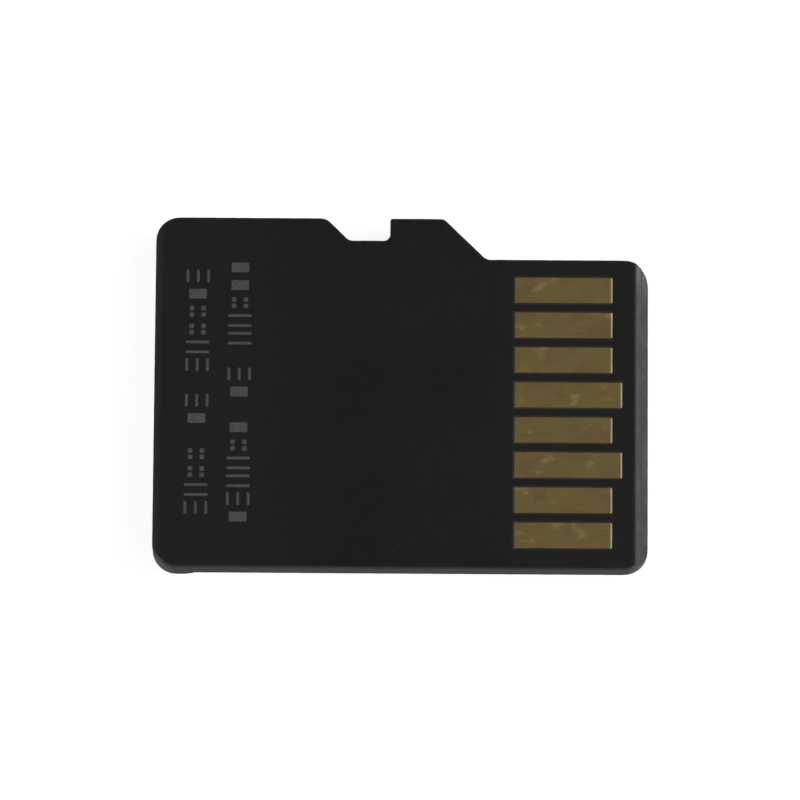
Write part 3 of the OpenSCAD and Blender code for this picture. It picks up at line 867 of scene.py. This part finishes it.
# a plain studio: a white floor and a white room, grey screens above and round three sides, and two lamps;
# its places and sizes are in metres
studio = {
    "floorSize": 4.0,
    "floorGap": 0.00001,  # keeps the floor from cutting into the face that stands on it
    "floorColor": "#8f8f8f",
    "floorGlow": 0.89,
    "roomWhite": 1.0,  # as a background, and in gloss
    "roomPlain": 1.3,  # as light on the card
    "screens": {  # centre, half sizes, what it glows with
        "screenAbove": ((-0.12, 0, 0.37), (0.34, 0.5, 0), 0.07),
        "screenLeft": ((-0.5, 0, 0.22), (0, 0.5, 0.15), 0.17),
        "screenBehind": ((-0.1, 0.5, 0.22), (0.4, 0, 0.15), 0.15),
        "screenBefore": ((-0.1, -0.5, 0.22), (0.4, 0, 0.15), 0.15),
    },
    "screenColor": "#353535",
    "lamps": {  # place, size, watts
        "lampRight": ((0.42, 0.05, 0.2), 0.25, 1.45),
        "lampLeft": ((-0.36, -0.2, 0.3), 0.2, 0.65),
    },
}


def cardMaterial(name, colour, glow, forBackground):
    # pale card with a glow, which only the camera, gloss and glass see where it is the background
    material = bpy.data.materials.new(name)
    tree = newTree(material)
    diffuse = addNode(tree, "BsdfDiffuse", {"Color": hexColor(colour)})
    emission = addNode(tree, "Emission", {"Strength": glow})
    if forBackground:
        shown = addNode(tree, "Math", {0: seenRays(tree), 1: glow}, operation="MULTIPLY")
        tree.links.new(shown.outputs[0], emission.inputs["Strength"])
    both = addNode(tree, "AddShader", {0: diffuse.outputs[0], 1: emission.outputs[0]})
    addNode(tree, "OutputMaterial", {"Surface": both.outputs[0]})
    return material


def seenRays(tree):
    # 1 for camera, glossy and transmission rays, 0 for the light that falls on surfaces
    path = addNode(tree, "LightPath").outputs
    first = addNode(tree, "Math", {0: path["Is Camera Ray"], 1: path["Is Glossy Ray"]}, operation="MAXIMUM")
    both = {0: first.outputs[0], 1: path["Is Transmission Ray"]}
    return addNode(tree, "Math", both, operation="MAXIMUM").outputs[0]


def stageCard(name, centre, half, material):
    # a flat rectangle; one of its half sizes is nothing
    half = np.array(half, float)
    first, second = np.diag(half)[half > 0]
    corners = np.array(centre) + np.array([-first - second, first - second, first + second, second - first])
    mesh = bpy.data.meshes.new(name)
    mesh.from_pydata(corners.tolist(), [], [(0, 1, 2, 3)])
    piece = bpy.data.objects.new(name, mesh)
    bpy.context.scene.collection.objects.link(piece)
    piece.data.materials.append(material)


floorHalf = studio["floorSize"] / 2
floorCard = cardMaterial("paleFloorCard", studio["floorColor"], studio["floorGlow"], True)
stageCard("floor", (0, 0, -studio["floorGap"]), (floorHalf, floorHalf, 0), floorCard)
for name, (centre, half, glow) in studio["screens"].items():
    stageCard(name, centre, half, cardMaterial(name + "Card", studio["screenColor"], glow, False))

world = bpy.data.worlds.new("studioRoom")
bpy.context.scene.world = world
tree = newTree(world)
levels = {"Value": seenRays(tree), "To Min": studio["roomPlain"], "To Max": studio["roomWhite"]}
level = addNode(tree, "MapRange", levels).outputs[0]
background = addNode(tree, "Background", {"Color": (1, 1, 1, 1), "Strength": level})
addNode(tree, "OutputWorld", {"Surface": background.outputs[0]})

for name, (spot, size, watts) in studio["lamps"].items():
    light = bpy.data.lights.new(name, "AREA")
    light.energy, light.size = watts, size
    lamp = bpy.data.objects.new(name, light)
    lamp.location = spot
    lamp.rotation_euler = (-Vector(spot)).to_track_quat("-Z", "Y").to_euler()  # towards the card
    bpy.context.scene.collection.objects.link(lamp)

# the camera stands where the photograph's edges put it
view = {
    "place": (1.286, -80.949, 298.582),
    "turnDeg": (15.177, 0.140, 0.420),
    "lens": 457.26,
    "sensor": 36.0,
    "clipMetres": (0.01, 20),
}
cameraData = bpy.data.cameras.new("camera")
cameraData.lens, cameraData.sensor_width = view["lens"], view["sensor"]
cameraData.clip_start, cameraData.clip_end = view["clipMetres"]
camera = bpy.data.objects.new("camera", cameraData)
camera.location = [v * mm for v in view["place"]]
camera.rotation_euler = [math.radians(a) for a in view["turnDeg"]]
bpy.context.scene.collection.objects.link(camera)
bpy.context.scene.camera = camera
bpy.context.scene.view_settings.view_transform = "Standard"
print("studio set up")
